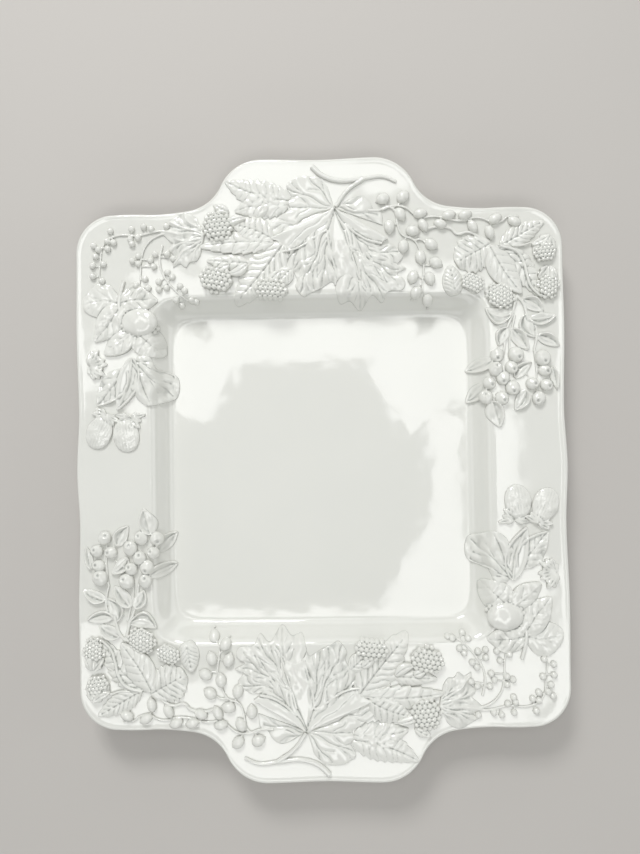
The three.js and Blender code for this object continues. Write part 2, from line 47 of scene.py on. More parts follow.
side_notch, notch_offset, side_taper = 1.6, 38, 1.2
floor_width, floor_length, floor_top = 198, 203, 10
cavetto_width, well_depth, well_squareness = 14, 15, 14
rim_slope, lip_width = math.tan(math.radians(3)), 5
rim_thickness, lip_underside, wall_root = 6, 2.6, 3
foot_height = 4
segments_round = 900


def arc(centre, radius, first, last, steps=24):
    """Points along a round bend, from one angle in degrees to another."""
    turn = np.radians(np.linspace(first, last, steps))
    return [(centre[0] + radius * math.cos(t), centre[1] + radius * math.sin(t)) for t in turn]


def wave(start, end, steps=16):
    """Points that swing softly sideways from start to end."""
    share = np.linspace(0, 1, steps)
    across = start[0] + (end[0] - start[0]) * share * share * (3 - 2 * share)
    return list(zip(across, start[1] + (end[1] - start[1]) * share))


def quarter_outline():
    """A quarter of the outline, from the middle of a side to the middle of a handle."""
    end, side, body_end = tray_length / 2, tray_width / 2, body_length / 2
    corner_side, flat = side - side_taper, handle_flat / 2
    neck_drop = end - body_end - neck_run * math.tan(neck_slope) / 2
    bend = math.acos((1 + math.cos(neck_slope) - neck_drop / ogee_radius) / 2)
    neck_x = flat + 2 * ogee_radius * math.sin(bend)
    neck_y = end - ogee_radius * (1 - 2 * math.cos(bend))
    run_x = neck_x - ogee_radius * math.sin(neck_slope)
    bend, slope = math.degrees(bend), math.degrees(neck_slope)
    lobe = (body_end - corner_radius + notch_offset) / 2
    dish = [(flat * s, end - handle_dish * (1 - s * s * (3 - 2 * s))) for s in np.linspace(0, 1, 12)]
    run_out = body_end + neck_run * math.tan(neck_slope) / 2
    run = [
        (run_x + neck_run * s, body_end + (run_out - body_end) * (1 - s) ** 2)
        for s in np.linspace(0, 1, 9)
    ]
    path = dish
    path += arc((flat, end - ogee_radius), ogee_radius, 90, 90 - bend)
    path += arc((neck_x, neck_y), ogee_radius, 270 - bend, 270 - slope)
    path += run
    path += arc((corner_side - corner_radius, body_end - corner_radius), corner_radius, 90, 0)
    path += wave((corner_side, body_end - corner_radius), (side - side_notch / 3, lobe))
    path += wave((side - side_notch / 3, lobe), (side - side_notch, notch_offset))
    path += wave((side - side_notch, notch_offset), (side, 0))
    return np.array(path[::-1])


quarter = quarter_outline()
quarter_angle = np.arctan2(quarter[:, 1], quarter[:, 0])
quarter_reach = np.hypot(quarter[:, 0], quarter[:, 1])


def outline_reach(angle):
    """How far the outline lies from the middle of the tray."""
    folded = np.arctan2(np.abs(np.sin(angle)), np.abs(np.cos(angle)))
    return np.interp(folded, quarter_angle, quarter_reach)


def well_reach(angle, grown):
    """How far the edge of the floor lies from the middle, when it is grown by some millimetres."""
    across = np.abs(np.cos(angle)) / (floor_width / 2 + grown)
    along = np.abs(np.sin(angle)) / (floor_length / 2 + grown)
    return (across ** well_squareness + along ** well_squareness) ** (-1 / well_squareness)


def face_height(x, y):
    """Height of the upper face, without the bead of its lip."""
    angle = np.arctan2(y, x)
    reach = np.hypot(x, y)
    floor = well_reach(angle, 0)
    shoulder = well_reach(angle, cavetto_width)
    climb = np.clip((reach - floor) / (shoulder - floor), 0, 1)
    wall = floor_top + well_depth * climb * climb * (3 - 2 * climb)
    return wall + np.maximum(reach - shoulder, 0) * rim_slope


# Each ring of the section gives, for the directions round the tray, how far out it lies and how high.
def face_ring(reach_of):
    return lambda angle: (reach_of(angle), face_height)


def floor_reach(share):
    return lambda angle: well_reach(angle, 0) * share


def cavetto_reach(share):
    return lambda angle: well_reach(angle, 0) * (1 - share) + well_reach(angle, cavetto_width) * share


def rim_reach(share):
    return lambda angle: (
        well_reach(angle, cavetto_width) * (1 - share) + (outline_reach(angle) - lip_width) * share
    )


def lip_ring(inwards, raised):
    return lambda angle: (outline_reach(angle) - inwards, lambda x, y: face_height(x, y) + raised)


def under_rim_ring(share):
    def ring(angle):
        inner = well_reach(angle, cavetto_width + wall_root)
        outer = outline_reach(angle) - lip_underside
        return inner * share + outer * (1 - share), lambda x, y: face_height(x, y) - rim_thickness
    return ring


def level_ring(grown, height):
    return lambda angle: (well_reach(angle, grown), lambda x, y: np.full_like(x, height))


floor_shares = (0.3, 0.6, 0.8, 0.92, 0.97, 0.99)
rim_shares = (0.04, 0.2, 0.4, 0.6, 0.8, 0.95, 1)
under_rim_shares = (0.1, 0.4, 0.7, 0.95)
section = [face_ring(floor_reach(share)) for share in floor_shares]
section += [face_ring(cavetto_reach(share)) for share in np.linspace(0, 1, 21)]
section += [face_ring(rim_reach(share)) for share in rim_shares]

# The lip's rings are given by how far in from the outline and how far above the rim's face they lie, the
# rings below the wall and of the foot by how far out from the floor's edge and how high.
lip_bead = [
    (4.3, 0.02), (3.6, 0.09), (2.9, 0.19), (2.3, 0.26), (1.7, 0.22), (1.1, 0), (0.6, -0.42), (0.2, -1.1),
    (0, -2), (0.15, -3), (0.55, -4.1), (1.1, -5), (1.8, -5.7), (2.6, -6),
]
section += [lip_ring(inwards, raised) for inwards, raised in lip_bead]
section += [under_rim_ring(share) for share in under_rim_shares]
under_wall = [(15.5, 17.6), (12, 13.4), (8, 8.6), (5, 5.4), (3, 4)]
foot_ring = [
    (1.6, 3.3), (-1.5, 1), (-2.4, 0.3), (-3.2, 0), (-9.8, 0), (-10.4, 0.5), (-11.6, 3.2), (-12.6, 3.9),
    (-20, foot_height), (-60, foot_height),
]
section += [level_ring(grown, height) for grown, height in under_wall + foot_ring]

bpy.ops.object.select_all(action="DESELECT")
bpy.ops.mesh.primitive_uv_sphere_add(segments=segments_round, ring_count=len(section) + 1, radius=1)
tray = bpy.context.object
tray.name = "tray_body_glazed"


def vertex_places(piece):
    places = np.empty(len(piece.data.vertices) * 3)
    piece.data.vertices.foreach_get("co", places)
    return places.reshape(-1, 3)


def set_places(piece, places):
    piece.data.vertices.foreach_set("co", places.ravel())
    piece.data.update()


def face_outwards():
    bpy.ops.object.mode_set(mode="EDIT")
    bpy.ops.mesh.select_all(action="SELECT")
    bpy.ops.mesh.normals_make_consistent(inside=False)
    bpy.ops.object.mode_set(mode="OBJECT")


places = vertex_places(tray)
longitude = np.arctan2(places[:, 1], places[:, 0])
from_top = np.arccos(np.clip(places[:, 2], -1, 1)) / math.pi
ring_number = np.rint(from_top * (len(section) + 1)).astype(int)
places[ring_number == 0] = 0, 0, floor_top
places[ring_number == len(section) + 1] = 0, 0, foot_height
for number, ring in enumerate(section, start=1):
    here = ring_number == number
    reach, height_of = ring(longitude[here])
    x = reach * np.cos(longitude[here])
    y = reach * np.sin(longitude[here])
    places[here] = np.column_stack([x, y, height_of(x, y)])
set_places(tray, places * MILLIMETRE)
face_outwards()
bpy.ops.object.shade_smooth()


class Wire:
    """An output socket of a node, on which sums can be done."""

    def __init__(self, socket):
        self.socket = socket

    def sum(self, operation, first, second):
        tree = self.socket.id_data
        node = tree.nodes.new("ShaderNodeMath")
        node.operation = operation
        for value, entry in zip((first, second), node.inputs):
            if isinstance(value, Wire):
                tree.links.new(value.socket, entry)
            else:
                entry.default_value = value
        return Wire(node.outputs[0])

    def __add__(self, other):
        return self.sum("ADD", self, other)

    __radd__ = __add__

    def __mul__(self, other):
        return self.sum("MULTIPLY", self, other)

    __rmul__ = __mul__


class Finish:
    """A material and its one way to add a node."""

    def __init__(self, name):
        self.material = bpy.data.materials.new(name)
        self.material.use_nodes = True
        self.tree = self.material.node_tree
        self.shader = self.tree.nodes["Principled BSDF"]

    def add(self, kind, settings, entries, output=0):
        node = self.tree.nodes.new(kind)
        for key, value in settings.items():
            setattr(node, key, value)
        for key, value in entries.items():
            self.enter(node.inputs[key], value)
        return Wire(node.outputs[output])

    def enter(self, entry, value):
        if isinstance(value, Wire):
            self.tree.links.new(value.socket, entry)
        else:
            entry.default_value = value


# The white glaze is faintly clouded, hard and glossy, and a little uneven where it ran before it set. On the
# relief it gathers in the hollows. There, and at the foot of each sprig, it is painted a darker grey: painted
# shade.
cloud_scale, run_scale, pit_scale = 26, 55, 900
pit_share, ripple_strength, ripple_depth = 0.02, 0.25, 0.0006
gloss, gloss_change, glaze_index = 0.03, 0.05, 1.52
white = (0.71, 0.71, 0.668, 1)
cloud = (0.68, 0.685, 0.645, 1)
# A darker grey, painted shade for the relief's hollows and for the foot of each sprig.
painted_shade_colour = (0.33, 0.34, 0.315, 1)


def glaze(name, relief):
    """The white glaze; on the relief it is painted greyer, as painted shade, where the piece's shade
    attribute is high.
    """
    finish = Finish(name)
    spot = finish.add("ShaderNodeTexCoord", {}, {}, "Object")
    clouds = finish.add("ShaderNodeTexNoise", {}, {"Vector": spot, "Scale": cloud_scale, "Detail": 3})
    colour = finish.add("ShaderNodeMix", {"data_type": "RGBA"}, {0: clouds, 6: white, 7: cloud}, 2)
    if relief:
        # How much painted shade each point of the relief gets, read from the piece's attribute.
        painted_shade = finish.add("ShaderNodeAttribute", {"attribute_name": "painted_shade"}, {}, "Fac")
        colour = finish.add("ShaderNodeMix", {"data_type": "RGBA"}, {0: painted_shade, 6: colour, 7: painted_shade_colour}, 2)
    runs = finish.add("ShaderNodeTexNoise", {}, {"Vector": spot, "Scale": run_scale, "Detail": 1})
    pits = finish.add("ShaderNodeTexNoise", {}, {"Vector": spot, "Scale": pit_scale, "Detail": 1})
    finish.enter(finish.shader.inputs["Base Color"], colour)
    finish.enter(finish.shader.inputs["Roughness"], gloss + gloss_change * clouds)
    uneven = {"Height": runs + pit_share * pits, "Strength": ripple_strength, "Distance": ripple_depth}
    ripple = finish.add("ShaderNodeBump", {}, uneven)
    finish.enter(finish.shader.inputs["Normal"], ripple)
    finish.shader.inputs["IOR"].default_value = glaze_index
    return finish.material


tray.data.materials.append(glaze("white_glaze", relief=False))
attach(tray, "root")
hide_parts("tray_body")

# Elder: two sprays of small round berries in the left corner and the lobed leaf that they spring from.
# Every sprig is a relief moulding of the same earthenware, pressed in a small mould, laid on the rim with
# slip and glazed over with the tray. Its raw forms are drawn flat, grown together and laid on the rim.
relief_glaze = glaze("relief_glaze", relief=True)
root_drop, root_depth = -9, -1.5
upright_share = 0.75
vein_width, pillow_width, wander = 0.5, 1.5, 1.3
side_swings, last_vein = (0.5, -0.56), 0.92
hollow_start, hollow_full, hollow_spread = 0.004, 0.024, 3
# How dark the painted contact shadow at the foot of each sprig is, and how high above the rim's face, in
# millimetres, it fades out.
contact_shade_strength, contact_shade_band = 0.9, 0.9
kept_faces = 0.7


def stem(places, radius=0.9, height=0.5, taper=0.7):
    """A round stalk through the given places, thinner towards its end."""
    bpy.ops.curve.primitive_bezier_curve_add()
    piece = bpy.context.object
    spline = piece.data.splines[0]
    spline.bezier_points.add(len(places) - 2)
    for number, (point, place) in enumerate(zip(spline.bezier_points, places)):
        point.co = (*place, height)
        point.handle_left_type = "AUTO"
        point.handle_right_type = "AUTO"
        point.radius = 1 + (taper - 1) * number / (len(places) - 1)
    piece.data.bevel_depth = radius
    piece.data.bevel_resolution = 3
    piece.data.resolution_u = 8
    piece.data.use_fill_caps = True
    bpy.ops.object.convert(target="MESH")
    return bpy.context.object


def turned(places, heading, place):
    """Turns a form that is drawn at the middle and moves it to its place."""
    across = places[:, 0] * math.cos(heading) - places[:, 1] * math.sin(heading)
    along = places[:, 0] * math.sin(heading) + places[:, 1] * math.cos(heading)
    return np.column_stack([across + place[0], along + place[1], places[:, 2]])


def unbent(places, place):
    """Keeps a fruit from being drawn down the wall of the well with the ground under it."""
    drop = face_height(places[:, 0], places[:, 1]) - face_height(*np.array(place, float))
    return places - upright_share * np.column_stack([np.zeros((len(places), 2)), drop])


def ball(place, length, width, height, heading=0.0, sunk=0.35, segments=28):
    """A round or oval fruit that sits on the rim a little below its middle."""
    bpy.ops.mesh.primitive_uv_sphere_add(segments=segments, ring_count=segments // 2, radius=1)
    piece = bpy.context.object
    places = vertex_places(piece) * (length, width, height) + (0, 0, sunk * height)
    set_places(piece, unbent(turned(places, heading, place), place))
    return piece


def lattice(along, across):
    """A flat grid, with each point's share of the way along it and its place from side to side."""
    bpy.ops.mesh.primitive_grid_add(x_subdivisions=along, y_subdivisions=across, size=2)
    piece = bpy.context.object
    places = vertex_places(piece)
    return piece, (places[:, 0] + 1) / 2, places[:, 1]


def thicken(piece, places):
    """Gives a leaf's upper face a root that reaches into the rim."""
    set_places(piece, places)
    bpy.ops.object.mode_set(mode="EDIT")
    bpy.ops.mesh.select_all(action="SELECT")
    bpy.ops.mesh.extrude_region_move(TRANSFORM_OT_translate={"value": (0, 0, root_drop)})
    bpy.ops.object.mode_set(mode="OBJECT")
    solid = vertex_places(piece)
    solid[solid[:, 2] < root_drop / 3, 2] = root_depth
    set_places(piece, solid)
    face_outwards()
    return piece


def rounded(points, pitch=0.5):
    """A smooth run of points through the given ones."""
    points = np.array(points, float)
    padded = np.vstack([2 * points[0] - points[1], points, 2 * points[-1] - points[-2]])
    run = []
    for before, start, end, after in zip(padded, padded[1:], padded[2:], padded[3:]):
        for t in np.linspace(0, 1, max(2, int(math.dist(start, end) / pitch)), endpoint=False):
            pull = (2 * before - 5 * start + 4 * end - after) * t
            pull += (3 * start - before - 3 * end + after) * t * t
            run.append(start + 0.5 * t * (end - before + pull))
    return np.array(run + [points[-1]])


def near_segment(x, y, start, end):
    """How far each point lies from a straight vein."""
    dx, dy = end[0] - start[0], end[1] - start[1]
    share = np.clip(((x - start[0]) * dx + (y - start[1]) * dy) / (dx * dx + dy * dy), 0, 1)
    return np.hypot(x - start[0] - share * dx, y - start[1] - share * dy)


ripple_count, ripple_divisor = 14, 5
ripples = np.random.default_rng(4)
ripple_heading = ripples.uniform(0, 2 * math.pi, ripple_count)
ripple_length = ripples.uniform(5, 13, ripple_count)
ripple_start = ripples.uniform(0, 2 * math.pi, ripple_count)


def crumple(x, y):
    """Uneven waves of many lengths, as in a thin leaf."""
    swell = np.zeros_like(x)
    for heading, length, start in zip(ripple_heading, ripple_length, ripple_start):
        swell += np.sin(2 * math.pi * (x * math.cos(heading) + y * math.sin(heading)) / length + start)
    return swell / ripple_divisor


def fan(base, rim, ribs=(), height=1.0, rise=1.2, puff=0.7, groove=0.5, side_veins=4, side_share=0.7,
        edge=0.0, crisp=0.0, lean=(0, 0), plain=0.2):
    """A leaf that spreads from its base to a rim of points, quilted between its ribs."""
    rim = rounded(rim)
    run = np.concatenate([[0], np.cumsum(np.hypot(*np.diff(rim, axis=0).T))])
    size = np.hypot(*(rim - base).T).max()
    piece, around, out = lattice(max(30, int(run[-1] * 1.5)), max(16, int(size * 1.4)))
    out = 0.02 + 0.49 * (out + 1)
    x = base[0] + (np.interp(around * run[-1], run, rim[:, 0]) - base[0]) * out
    y = base[1] + (np.interp(around * run[-1], run, rim[:, 1]) - base[1]) * out
    sides = np.minimum(1, 5 * np.minimum(around, 1 - around)) ** 0.5
    uneven = sides * np.clip((out - plain) / 0.3, 0, 1)
    z = height + rise * (1 - out ** 4) ** 0.7 * sides + edge * out ** 10
    z += crisp * crumple(x, y) * uneven
    veins = [(base, rib, 1.0) for rib in ribs]
    for number, rib in enumerate(ribs):
        lead = np.subtract(rib, base)
        for step in range(side_veins):
            along = plain + (last_vein - plain) * (step + 0.35 * (number % 2)) / side_veins
            start = np.add(base, lead * along)
            reach = 0.36 - 0.16 * step / side_veins
            for swing in side_swings:
                swing += 0.12 * math.sin(5 * step + 3 * number + 4 * swing)
                off = (
                    lead[0] * math.cos(swing) - lead[1] * math.sin(swing),
                    lead[0] * math.sin(swing) + lead[1] * math.cos(swing),
                )
                veins.append((start, start + np.multiply(off, reach), side_share))
    z += lean[0] * (x - base[0]) + lean[1] * (y - base[1])
    wandered = x + wander * crumple(0.6 * x, 0.6 * y), y + wander * crumple(0.6 * y + 40, 0.6 * x)
    narrow = np.zeros_like(z)
    wide = np.zeros_like(z)
    for start, end, share in veins:
        gap = near_segment(*wandered, start, end)
        narrow = np.maximum(narrow, share * np.exp(-((gap / vein_width) ** 2)))
        wide = np.maximum(wide, share * np.exp(-((gap / pillow_width) ** 2)))
    z -= groove * narrow + puff * wide
    return thicken(piece, np.column_stack([x, y, np.maximum(z, 0.5)]))


def hollow_shade(piece):
    """How far each point lies in a hollow, from 0 to 1; this sets how much painted shade the point gets."""
    mesh = piece.data
    count = len(mesh.vertices)
    ends = np.empty(len(mesh.edges) * 2, int)
    mesh.edges.foreach_get("vertices", ends)
    ends = ends.reshape(-1, 2)
    normal = np.empty(count * 3, np.float32)
    mesh.vertex_normals.foreach_get("vector", normal)
    normal = normal.reshape(-1, 3)
    places = vertex_places(piece) / MILLIMETRE
    met = np.bincount(ends.ravel(), minlength=count)

    def around(value):
        total = np.bincount(ends[:, 0], value[ends[:, 1]], count)
        total += np.bincount(ends[:, 1], value[ends[:, 0]], count)
        return total / np.maximum(met, 1)

    depth = sum((around(places[:, axis]) - places[:, axis]) * normal[:, axis] for axis in range(3))
    for repeat in range(hollow_spread):
        depth = 0.5 * depth + 0.5 * around(depth)
    return np.clip((depth - hollow_start) / hollow_full, 0, 1)


def apply_modifier(piece, kind, settings):
    bpy.ops.object.modifier_add(type=kind)
    modifier = piece.modifiers[0]
    for key, value in settings.items():
        setattr(modifier, key, value)
    bpy.ops.object.modifier_apply(modifier=modifier.name)


def sprig(node, pieces, voxel=0.36):
    """Grows raw forms together, lays them on the rim and repeats them half a turn round the tray."""
    bpy.ops.object.select_all(action="DESELECT")
    for piece in pieces:
        piece.select_set(True)
    bpy.context.view_layer.objects.active = pieces[0]
    bpy.ops.object.join()
    grown = bpy.context.object
    grown.data.materials.clear()
    apply_modifier(grown, "REMESH", {"mode": "VOXEL", "voxel_size": voxel})
    apply_modifier(grown, "SMOOTH", {"factor": 0.5, "iterations": 2})
    places = vertex_places(grown)
    # Painted shade: each point is darkened by its painted contact shadow near the rim and by its depth in a
    # hollow.
    painted_contact_shade = contact_shade_strength * np.clip(1 - places[:, 2] / contact_shade_band, 0, 1)
    places[:, 2] += face_height(places[:, 0], places[:, 1])
    set_places(grown, places * MILLIMETRE)
    bpy.ops.object.shade_smooth()
    painted_shade_amount = np.maximum(hollow_shade(grown), painted_contact_shade)
    grown.data.attributes.new("painted_shade", "FLOAT", "POINT").data.foreach_set("value", painted_shade_amount)
    apply_modifier(grown, "DECIMATE", {"ratio": kept_faces})
    grown.data.materials.append(relief_glaze)
    bpy.ops.object.duplicate()
    twin = bpy.context.object
    twin.data.transform(Matrix.Rotation(math.pi, 4, "Z"))
    for piece, end in ((grown, "a"), (twin, "b")):
        piece.name = f"{node}_{end}_glazed"
        piece.data.name = piece.name
        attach(piece, "root")
        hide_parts(f"{node}_{end}")


def nearest(place, stalks):
    """The point of the stalks that lies nearest to a place."""
    spots = np.vstack([rounded(stalk) for stalk in stalks])
    return spots[np.argmin(np.hypot(*(spots - place).T))]


def berries(places, stalks, radius=2.2):
    """Round berries, each tied by a short twig to the nearest point of the stalks."""
    made = []
    for place in places:
        near = nearest(place, stalks)
        made.append(ball(place, radius, radius, radius * 1.05, segments=20))
        if math.dist(near, place) > radius:
            made.append(stem([near, place], radius=0.55, height=0.4, taper=1))
    return made


elder_outer_stalks = [
    [(-94, 156), (-104, 157), (-118, 154.5), (-132, 154.5), (-140, 150), (-143, 138), (-144, 128)],
    [(-94, 156), (-104, 154.5), (-112, 149), (-116, 140), (-117, 128), (-118, 121)],
]
elder_outer_berries = [
    (-136, 157.5), (-122, 158.5), (-114, 160), (-109, 158.5), (-99, 160), (-138, 151), (-134, 150),
    (-138, 146), (-147, 148), (-144, 145.5), (-146, 141), (-123, 152), (-118, 153), (-122, 149),
    (-118, 141), (-122, 138), (-118, 136), (-110, 138), (-108, 134), (-141, 136), (-148, 135),
    (-148, 128), (-142, 125), (-114, 126), (-120, 122), (-112, 120),
]
elder_outer = [stem(stalk) for stalk in elder_outer_stalks]
sprig("elder_spray_outer", elder_outer + berries(elder_outer_berries, elder_outer_stalks))
elder_inner_stalks = [[(-102, 148), (-104, 139), (-103, 131), (-99, 124), (-92, 116), (-84, 110)]]
elder_inner_berries = [
    (-99, 142), (-107, 142), (-95, 139), (-99, 130), (-96, 127), (-105, 124), (-100, 120), (-105, 119),
    (-91, 121), (-88, 118), (-94, 112), (-91, 109), (-84, 112), (-81, 111),
]
elder_inner = [stem(stalk) for stalk in elder_inner_stalks]
sprig("elder_spray_inner", elder_inner + berries(elder_inner_berries, elder_inner_stalks))
elder_rim = [
    (-77, 160), (-80, 166), (-86, 168.5), (-90, 168), (-94, 165), (-99, 162), (-96, 159.5), (-102, 156),
    (-99, 152), (-95, 148.5), (-98, 145), (-94.5, 140), (-95.5, 133), (-91, 135.5), (-87, 133),
    (-84, 136.5), (-80, 137), (-77, 141),
]
elder_ribs = [(-87, 167), (-97, 161.5), (-101, 155.5), (-97, 146), (-94.5, 134.5), (-83, 137)]
elder_leaf = [
    stem([(-67, 157), (-74, 154.5), (-84, 154.5)], 1, 1.2),
    fan((-74, 154), elder_rim, elder_ribs, height=0.6, rise=1, puff=-0.7, groove=-0.4, side_veins=1,
        crisp=0.5),
]
sprig("elder_leaf", elder_leaf)

# Bramble: three beaded fruits and four toothed leaves left of the middle, the leaves veined from their
# midribs to their edges. They are sprigs of the same earthenware, pressed in moulds of their own and laid on
# with slip, partly on one another.
midrib_width, roll_inset, roll_width = 0.6, 0.7, 1.15
row_pitch = 0.866
fruit_voxel = 0.3


def leaf(base, tip, width, height=0.9, rise=1.4, bow=0.0, fullest=0.42, teeth=0, tooth=0.18, veins=7,
         puff=0.6, groove=0.7, tilt=0.0, blunt=0.85, slant=0.9, cup=0.0, crisp=0.0):
    """A leaf along one midrib, with pillows between its side veins; cup rolls its edges up."""
    base, tip = np.array(base, float), np.array(tip, float)
    length = math.dist(base, tip)
    piece, share, side = lattice(max(26, int(length * 2)), max(16, int(width * 1.7)))
    lead = (tip - base) / length
    off = np.array([-lead[1], lead[0]])
    swell = np.sin(math.pi * (0.02 + 0.96 * share) ** (math.log(0.5) / math.log(fullest))) ** blunt
    half = width / 2 * swell + 0.25
    step = (share * teeth) % 1 if teeth else np.ones_like(share)
    spread = side * half * (1 - tooth * (1 - step) * side * side)
    drift = 4 * bow * share * (1 - share)
    x = base[0] + lead[0] * share * length + off[0] * (spread + drift)
    y = base[1] + lead[1] * share * length + off[1] * (spread + drift)
    phase = veins * share - slant * np.abs(spread) * veins / length + 0.22 * crumple(0.7 * x, 0.7 * y)
    pillow = np.sqrt(np.abs(np.sin(math.pi * phase))) if veins else np.ones_like(share)
    z = height + rise * (1 - np.abs(side) ** 2.8) * swell ** 0.5
    z += puff * (pillow - 1) * (1 - np.abs(side) ** 8) * swell ** 0.5
    z -= groove * np.exp(-((spread / midrib_width) ** 2)) * (1 - share) ** 0.3
    z += tilt * side * swell + crisp * crumple(x, y)
    roll = cup * (1 + 0.6 * np.sign(side) * np.sign(bow + 0.1))
    inwards = (1 - np.abs(side)) * half
    z += roll * (np.exp(-(((inwards - roll_inset) / roll_width) ** 2)) - 0.25) * swell ** 0.3
    return thicken(piece, np.column_stack([x, y, np.maximum(z, 0.4)]))


def beaded(place, length, width, height, heading, bead=1.7, pitch=3.25, bare=2.0):
    """A fruit built of small round beads over an oval core; none lie further along it than bare."""
    made = [ball(place, length - bead, width - bead, height - bead * 0.7, heading)]
    rows = int(width / pitch / row_pitch) + 1
    for row in range(-rows, rows + 1):
        across = row * row_pitch * pitch
        for step in range(-int(length / pitch) - 1, int(length / pitch) + 2):
            along = (step + 0.5 * (row % 2)) * pitch
            out = math.hypot(along / (length - bead * 0.6), across / (width - bead * 0.6))
            if out > 1.02 or along / length > bare:
                continue
            top = math.sqrt(max(0, 1 - out * out)) * (height - bead * 0.4) + height * 0.35
            spot = unbent(turned(np.array([[along, across, top]]), heading, place), place)[0]
            bpy.ops.mesh.primitive_ico_sphere_add(subdivisions=2, radius=bead, location=spot)
            bpy.ops.object.transform_apply(location=True, rotation=False, scale=False)
            made.append(bpy.context.object)
    return made


upper_fruit = beaded((-65, 159), 11, 10.5, 3.9, 2.2)
upper_cup = [
    leaf((-47, 164), (-62, 158), 5, height=2.8, veins=0, bow=-1.5),
    leaf((-58, 168), (-68, 173), 6, height=2, veins=3),
]
sprig("bramble_fruit_upper", upper_fruit + upper_cup, voxel=fruit_voxel)
lower_fruit = beaded((-67, 125), 12.5, 9.5, 4.3, 2.95)
lower_cup = [
    leaf((-45, 135), (-73, 137), 10, height=1.4, veins=5, crisp=0.2),
    leaf((-46, 134), (-59, 128), 6, height=3, veins=0, bow=1.5),
    leaf((-58, 134), (-66, 131), 6, height=3.2, veins=0),
]
sprig("bramble_fruit_lower", lower_fruit + lower_cup, voxel=fruit_voxel)
inner_fruit = beaded((-31, 117.5), 13, 8, 4.4, 3.05)
inner_cup = [
    leaf((-17, 131), (-29, 120), 11, height=1.8, veins=5, puff=0.8),
    leaf((-25, 129), (-34, 121), 6, height=3, veins=0),
]
sprig("bramble_fruit_inner", inner_fruit + inner_cup, voxel=fruit_voxel)
handle_leaf = [
    leaf((-18, 175), (-60, 188.5), 22, bow=2.5, teeth=9, veins=9, fullest=0.38, slant=0.55, groove=0.9),
    leaf((-19, 172), (-54, 169), 19, height=0.8, bow=-2, teeth=8, veins=7, tilt=-0.6, crisp=0.4),
]
sprig("bramble_leaf_handle", handle_leaf)
curled = leaf((-29, 150), (-55, 160), 20, height=1.6, teeth=6, veins=7, tilt=0.8, slant=0.5, puff=1, bow=-1.5)
sprig("bramble_leaf_curled", [curled])
long_leaf = [
    leaf((-29, 148), (-77, 146), 16, height=2, teeth=7, veins=6, bow=-1.5, tilt=0.7, slant=0.7, puff=0.9),
]
sprig("bramble_leaf_long", long_leaf)
inner_leaf = leaf((-22, 148), (-55, 109), 26, height=1.2, teeth=8, veins=9, puff=1, groove=0.9, bow=1)
sprig("bramble_leaf_inner", [inner_leaf])

# Vine: one large leaf on the middle of the rim with two smooth turned-up flaps, two more leaves behind it,
# and the crooked twig on the handle that they hang from. They are thin sprigs of the same earthenware, laid
# on with slip and glazed over.
front_base = (11.4, 169.5)
front_rim = [
    (-24, 148), (-18, 141), (-22, 137), (-20, 132), (-17, 130), (-14, 124), (-15, 119), (-10, 113),
    (-5, 115), (2, 118), (9, 122), (11, 119), (13, 123), (19, 126), (23, 124), (28, 121), (31, 127),
    (35, 133), (39, 141), (42, 150),
]
front_ribs = [(-20, 136), (-12, 116), (2, 119), (28, 123), (37, 138)]
left_flap = [
    (-32, 150.5), (-26, 148.5), (-25, 143), (-19, 141), (-12, 144.5), (-5, 148.5), (0, 151.5), (6.5, 155),
]
right_flap = [(17.5, 159), (22, 155), (28, 151), (35, 148), (41, 146.5), (46, 149.5)]
front_middle = [
    (6.5, 154), (7.5, 145), (10.5, 133), (12.5, 124.5), (19, 126.5), (26.5, 123.5), (23.5, 134),
    (20, 145), (17.5, 154),
]
front_leaf = [
    fan(front_base, front_rim, front_ribs, height=1.4, rise=1.4, side_veins=3, side_share=0.6, crisp=1,
        plain=0.4),
    fan(front_base, left_flap, [(-20, 146)], height=2.7, rise=0.8, puff=0.1, groove=0.25, side_veins=0,
        edge=-0.6, crisp=0.4, lean=(-0.075, 0.15), plain=0.6),
    fan(front_base, right_flap, height=2.7, rise=0.8, edge=-0.6, crisp=0.4, lean=(0.085, 0.14), plain=0.6),
    fan((11.6, 166.5), front_middle, height=1.9, rise=1, crisp=0.6, plain=0.4),
    stem([(6.5, 155), (7.5, 145), (10.5, 133), (13, 124)], 0.7, 2),
    stem([(18, 155), (20.5, 145), (24, 134), (27.5, 123)], 0.7, 2),
    stem([(-23, 142), (-15, 143.5), (-7, 147.5), (-1, 151.5), (6.5, 155.5)], 0.8, 2.2),
    stem([(42, 146), (34, 148), (27, 151.5), (18, 159)], 0.8, 2.2),
]
sprig("vine_leaf_front", front_leaf)
left_rim = [
    (7, 184), (3, 188), (-2, 190.5), (-9, 191), (-14, 189.5), (-20, 185), (-17, 178), (-19, 174), (-18, 169),
    (-24, 166), (-33, 158), (-30, 150),
]
left_ribs = [(-4, 190), (-18, 182), (-19, 171), (-31, 156)]
behind_left = fan(front_base, left_rim, left_ribs, rise=1.1, side_veins=1, puff=0.35, crisp=0.35, plain=0.5)
sprig("vine_leaf_left", [behind_left])
right_rim = [
    (47, 146), (52, 143), (56, 138), (52, 132), (58, 130), (52, 126.5), (57, 122), (55, 116), (46, 115),
    (42, 109), (35, 113), (28, 105), (21, 110), (14, 109), (11, 118),
]
right_ribs = [(52, 139), (55, 123), (43, 111), (28, 107)]
back_flap = [(20, 175), (28, 177.5), (34, 174), (37, 169), (42, 166.5), (43, 158)]
behind_right = [
    fan((22, 144), right_rim, right_ribs, height=1.1, rise=1.2, side_veins=3, side_share=0.6, crisp=0.8,
        plain=0.3),
    fan(front_base, back_flap, [(28, 176), (40, 165)], height=0.7, rise=0.9, side_veins=1, plain=0.4),
]
sprig("vine_leaf_right", behind_right)
